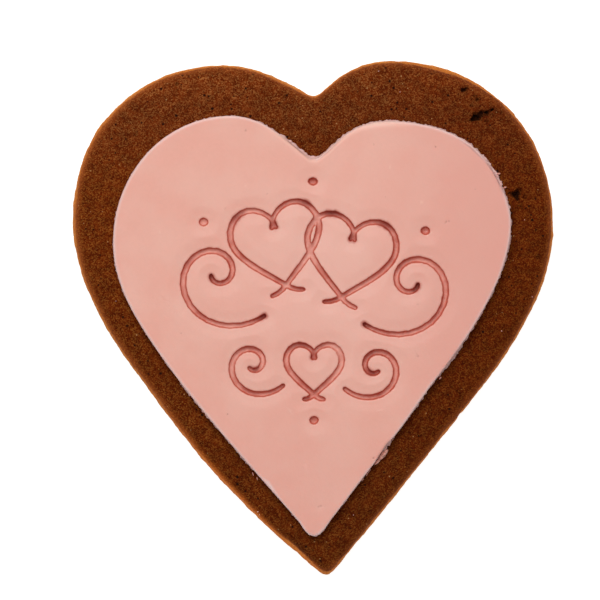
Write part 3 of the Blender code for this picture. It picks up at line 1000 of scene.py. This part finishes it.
def makeBakedMaterial(grainGroup, speckGroup):
    look = bakedFinish
    material, tree, surface = newMaterial("bakedCrumb", look["specular"])
    x, y, z = objectPlace(tree)
    grain = useGroup(tree, grainGroup, Size=look["grainSize"])
    ramp = newNode(tree, "ShaderNodeValToRGB")
    first, middle, last = look["crumbRamp"]
    for stop, (position, paint) in zip(ramp.color_ramp.elements, (first, last)):
        stop.position = position
        stop.color = (*paint, 1)
    ramp.color_ramp.elements.new(middle[0]).color = (*middle[1], 1)
    tree.links.new(grain["Grain"], ramp.inputs["Fac"])
    clump = ranged(tree, grain["Clumps"], *look["clumpRange"])
    colour = mixColour(tree, clump, ramp.outputs["Color"], look["reddish"])

    # darker towards the tip and the right flank, lighter at the crown, and patchy all over
    patches = texture(tree, "ShaderNodeTexNoise", 1 / look["patchSize"], Detail=look["patchDetail"])
    shade = math2(tree, "MULTIPLY", ranged(tree, y, *look["tipShade"]),
                  ranged(tree, x, *look["rightShade"]))
    shade = math2(tree, "MULTIPLY", shade, ranged(tree, y, *look["crownShade"]))
    shade = math2(tree, "MULTIPLY", shade,
                  ranged(tree, patches.outputs["Fac"], *look["patchShade"]))
    low = ranged(tree, y, *look["lowStart"])
    colour = mixColour(tree, low, colour, look["low"], "MULTIPLY")
    right = ranged(tree, x, *look["rightStart"])
    colour = mixColour(tree, right, colour, look["right"], "MULTIPLY")
    shaded = newNode(tree, "ShaderNodeVectorMath", operation="SCALE")
    tree.links.new(colour, shaded.inputs[0])
    tree.links.new(shade, shaded.inputs["Scale"])
    holes = useGroup(tree, speckGroup, **look["pinholes"])[0]
    colour = mixColour(tree, holes, shaded.outputs[0], look["pinholeShade"])
    flour = useGroup(tree, speckGroup, **look["flourSpecks"])[0]
    colour = mixColour(tree, math2(tree, "MULTIPLY", flour, look["flourShare"]),
                       colour, look["flour"])

    # the side pales downwards, golden first and then cream, and is browner at its foot
    flank = math2(tree, "SUBTRACT", x, math2(tree, "MULTIPLY", y, look["flankSlope"]))
    corner = math2(tree, "ADD", x, y)
    level = math2(tree, "MULTIPLY", grain["Clumps"], look["levelRoughness"])
    level = math2(tree, "ADD", level, z)
    level = math2(tree, "ADD", level, ranged(tree, flank, *look["flankRise"]))
    level = math2(tree, "ADD", level, ranged(tree, corner, *look["cornerRise"]))
    nearTip = math2(tree, "MULTIPLY", ranged(tree, x, *look["tipLeft"]),
                    ranged(tree, y, *look["tipLow"]))
    cream = math2(tree, "MULTIPLY", ranged(tree, level, *look["creamStart"]),
                  ranged(tree, nearTip, 0, 1, 1, look["tipCream"]))
    side = mixColour(tree, cream, look["golden"], look["cream"])
    side = mixColour(tree, ranged(tree, level, *look["footStart"]), side, look["foot"])
    side = mixColour(tree, math2(tree, "MULTIPLY", nearTip, look["tipSideShare"]),
                     side, look["tipSide"])
    grainy = mixColour(tree, grain["Grain"], *look["grainTints"])
    side = mixColour(tree, 1.0, side, grainy, "MULTIPLY")

    # the paler rim, partly painted light, lies over the face, and the side over both
    toLeft = math2(tree, "MAXIMUM", ranged(tree, flank, *look["rimLeft"]), nearTip)
    strength = math2(tree, "MULTIPLY", toLeft, ranged(tree, y, *look["rimTop"]))
    narrowed = math2(tree, "POWER", maskOf(tree, "rimLightMask"),
                     ranged(tree, nearTip, 0, 1, 1, look["rimPower"]))
    rim = mixColour(tree, nearTip, look["rim"], look["tipRimLight"])
    rim = mixColour(tree, 1.0, rim, grainy, "MULTIPLY")
    colour = mixColour(tree, math2(tree, "MULTIPLY", narrowed, strength), colour, rim)
    colour = mixColour(tree, ranged(tree, level, *look["goldenStart"]), colour, side)

    # painted shade, near black, fills the cracks; crumbs in them are painted lighter, as if they
    # catch the light, by grain, fewer where the cracks are deepest
    pit = maskOf(tree, "pitMask")
    crumbly = math2(tree, "MULTIPLY", ranged(tree, grain["Grain"], *look["pitCrumbGrain"]),
                    ranged(tree, pit, *look["pitCrumbDepth"]))
    inside = mixColour(tree, crumbly, look["pit"], look["pitCrumb"])
    colour = mixColour(tree, math2(tree, "MULTIPLY", pit, look["pitShare"]), colour, inside)
    # the underside is plain, with a few pores in painted shade
    under = mixColour(tree, 1.0, look["under"], grainy, "MULTIPLY")
    under = mixColour(tree, holes, under, look["pinholeShade"])
    colour = mixColour(tree, maskOf(tree, "baseMask"), colour, under)
    tree.links.new(colour, surface.inputs["Base Color"])

    rough = math2(tree, "MULTIPLY", grain["Grain"], look["grainRoughness"])
    rough = math2(tree, "ADD", rough, look["roughness"])
    tree.links.new(rough, surface.inputs["Roughness"])
    sunk = math2(tree, "SUBTRACT", grain["Grain"], holes)
    bumped(tree, surface, sunk, look["bumpDistance"], look["bumpStrength"])
    print("baked finish:", len(tree.nodes), "nodes")
    return material


# Finish of the icing, colours as linear values

icingFinish = {
    "specular": 0.3,
    "pink": (0.82, 0.400, 0.318),
    "warm": (0.83, 0.440, 0.355),
    "mottleSize": 9 * mm,
    "mottleDetail": 3,
    "mottleRange": (0.35, 0.68),
    "grainSize": 0.5 * mm,
    "grainTints": ((0.985, 0.985, 0.985), (1.01, 1.01, 1.01)),
    "speck": (0.36, 0.15, 0.12),
    "specks": {"Size": 0.22 * mm, "Spacing": 6 * mm, "Share": 0.5},
    "speckShare": 0.5,
    "centre": (0.845, 0.460, 0.380),
    "centreShare": 0.7,
    # a deeper pink: along x towards the right lobe, along y towards the tip
    "blush": (0.76, 0.345, 0.280),
    "rightBlush": (6 * mm, 36 * mm, 0, 0.75),
    "tipBlush": (6 * mm, -34 * mm, 0, 0.25),
    "line": (0.80, 0.57, 0.54),
    # cream: the colour of the pale marks, and the painted highlight on the soft shoulders
    "cream": (0.88, 0.54, 0.43),
    # the strokes, all painted shade: a deeper pink on their floors, darker and redder on their
    # walls, darkest at their deepest ends
    "floor": (0.63, 0.200, 0.150),
    "paleFloor": (0.76, 0.320, 0.250),
    "floorRange": (0.4, 0.6),
    "wallShade": (0.60, 0.110, 0.065),
    "deepEndShade": (0.38, 0.060, 0.040),
    "edge": (0.73, 0.447, 0.408),
    # painted shade in the crease above a ledge
    "crease": (0.46, 0.23, 0.21),
    # what lies over the face, one over the other: mask, its greatest share, colour
    "layers": [
        # the shoulder's cream is a painted highlight; floor, wall, deep end and crease are painted
        # shade
        ("lineMask", 0.8, "line"), ("shoulderHighlightMask", 0.6, "cream"), ("paleMask", 0.5, "cream"),
        ("markMask", 0.85, "speck"), ("strokeShadeMask", 1.0, "floor"), ("wallShadeMask", 1.0, "wallShade"),
        ("endShadeMask", 0.75, "deepEndShade"), ("cutMask", 1.0, "edge"), ("creaseShadeMask", 0.7, "crease"),
    ],
    "subsurface": 0.12,
    "subsurfaceRadius": (1.0, 0.35, 0.25),
    "subsurfaceScale": 1.2 * mm,
    "roughRange": (0.3, 0.7, 0.40, 0.52),
    "bumpDistance": 0.02 * mm,
    "bumpStrength": 0.4,
}


def makeIcingMaterial(grainGroup, speckGroup):
    look = icingFinish
    material, tree, surface = newMaterial("pinkIcing", look["specular"])
    x, y = objectPlace(tree)[:2]
    grain = useGroup(tree, grainGroup, Size=look["grainSize"])
    mottle = texture(tree, "ShaderNodeTexNoise", 1 / look["mottleSize"], Detail=look["mottleDetail"])
    patch = ranged(tree, mottle.outputs["Fac"], *look["mottleRange"])
    colour = mixColour(tree, patch, look["pink"], look["warm"])
    fine = mixColour(tree, grain["Grain"], *look["grainTints"])
    colour = mixColour(tree, 1.0, colour, fine, "MULTIPLY")
    specks = useGroup(tree, speckGroup, **look["specks"])[0]
    colour = mixColour(tree, math2(tree, "MULTIPLY", specks, look["speckShare"]),
                       colour, look["speck"])
    centre = math2(tree, "MULTIPLY", maskOf(tree, "centreMask"), look["centreShare"])
    colour = mixColour(tree, centre, colour, look["centre"])
    blush = math2(tree, "MAXIMUM", ranged(tree, x, *look["rightBlush"]),
                  ranged(tree, y, *look["tipBlush"]))
    colour = mixColour(tree, blush, colour, look["blush"])
    patchy = ranged(tree, grain["Clumps"], *look["floorRange"])
    floor = mixColour(tree, patchy, look["floor"], look["paleFloor"])
    for mask, greatest, name in look["layers"]:
        share = math2(tree, "MULTIPLY", maskOf(tree, mask), greatest)
        colour = mixColour(tree, share, colour, floor if name == "floor" else look[name])
    tree.links.new(colour, surface.inputs["Base Color"])
    surface.inputs["Subsurface Weight"].default_value = look["subsurface"]
    surface.inputs["Subsurface Radius"].default_value = look["subsurfaceRadius"]
    surface.inputs["Subsurface Scale"].default_value = look["subsurfaceScale"]
    rough = ranged(tree, grain["Clumps"], *look["roughRange"])
    tree.links.new(rough, surface.inputs["Roughness"])
    bumped(tree, surface, grain["Grain"], look["bumpDistance"], look["bumpStrength"])
    print("icing finish:", len(tree.nodes), "nodes")
    return material


def dress(piece, material, node=None):
    piece.data.materials.clear()
    piece.data.materials.append(material)
    pickOnly(piece)
    bpy.ops.object.shade_smooth()
    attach(piece, "root")
    if node:
        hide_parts(node)


# The table, the lights and the camera

studio = {
    "floorSize": 8.0,
    "floorPlace": (1.0, 0.3, -0.05 * mm),
    "floorTint": 0.5,
    "floorRoughness": 0.9,
    "floorGlow": 0.85,
    "skyLight": 0.40,
    "keyPlace": (-0.11, 0.42, 0.79),
    "keySize": 0.5,
    "keyPower": 5.35,
    "cameraHeight": 1.5,
    "frameWidth": 112.2 * mm,  # what the photograph spans at the height of the baked face
    "lookAt": (-2.4 * mm, 3.2 * mm),
    "sensor": 36.0,
    "clipStart": 0.1,
    "clipEnd": 20,
    "white": (1, 1, 1, 1),
}


def mixShader(tree, share, first, second, output):
    either = newNode(tree, "ShaderNodeMixShader")
    for socket, source in zip(either.inputs, (share, first, second)):
        tree.links.new(source, socket)
    tree.links.new(either.outputs[0], tree.nodes[output].inputs["Surface"])


def makeFloor():
    bpy.ops.mesh.primitive_plane_add(size=studio["floorSize"], location=studio["floorPlace"])
    floor = bpy.context.object
    floor.name = "paleTable"
    material, tree, surface = newMaterial("paleTable", 0.0)
    surface.inputs["Roughness"].default_value = studio["floorRoughness"]
    surface.inputs["Base Color"].default_value = (*[studio["floorTint"]] * 3, 1)
    surface.inputs["Emission Color"].default_value = studio["white"]
    surface.inputs["Emission Strength"].default_value = studio["floorGlow"]
    # seen from below it is clear, so that the underside shows
    clear = newNode(tree, "ShaderNodeBsdfTransparent")
    facing = newNode(tree, "ShaderNodeNewGeometry")
    mixShader(tree, facing.outputs["Backfacing"], surface.outputs[0], clear.outputs[0],
              "Material Output")
    floor.data.materials.append(material)


def makeLights():
    world = bpy.data.worlds.new("studioAir")
    bpy.context.scene.world = world
    world.use_nodes = True
    tree = world.node_tree
    # the sky lights softly, and is plain white to the camera
    sky = tree.nodes["Background"]
    sky.inputs["Color"].default_value = studio["white"]
    sky.inputs["Strength"].default_value = studio["skyLight"]
    seen = newNode(tree, "ShaderNodeBackground")
    seen.inputs["Color"].default_value = studio["white"]
    path = newNode(tree, "ShaderNodeLightPath")
    mixShader(tree, path.outputs["Is Camera Ray"], sky.outputs[0], seen.outputs[0],
              "World Output")

    bpy.ops.object.light_add(type="AREA", location=studio["keyPlace"])
    key = bpy.context.object
    key.name = "softKey"
    key.data.energy = studio["keyPower"]
    key.data.size = studio["keySize"]
    key.rotation_euler = (-Vector(studio["keyPlace"])).to_track_quat("-Z", "Y").to_euler()


def makeCamera():
    x, y = studio["lookAt"]
    bpy.ops.object.camera_add(location=(x, y, studio["cameraHeight"]), rotation=(0, 0, 0))
    camera = bpy.context.object
    distance = studio["cameraHeight"] - deckHeight
    camera.data.sensor_width = studio["sensor"]
    camera.data.lens = studio["sensor"] * distance / studio["frameWidth"]
    camera.data.clip_start = studio["clipStart"]
    camera.data.clip_end = studio["clipEnd"]
    bpy.context.scene.camera = camera
    bpy.context.scene.view_settings.view_transform = "Standard"


bakedHeart = makeBaked()
looseCrumbs = makeCrumbs()
icingGrains = makeGrains()
pressedIcing = makeIcing()
sandyGrain = makeGrainGroup()
scatteredSpecks = makeSpeckGroup()
bakedCrumb = makeBakedMaterial(sandyGrain, scatteredSpecks)
pinkIcing = makeIcingMaterial(sandyGrain, scatteredSpecks)
dress(bakedHeart, bakedCrumb, "gingerbread_heart")
dress(looseCrumbs, bakedCrumb)
dress(icingGrains, pinkIcing)
dress(pressedIcing, pinkIcing, "icing_heart")
print("finishes set")
makeFloor()
makeLights()
makeCamera()
print("studio set")
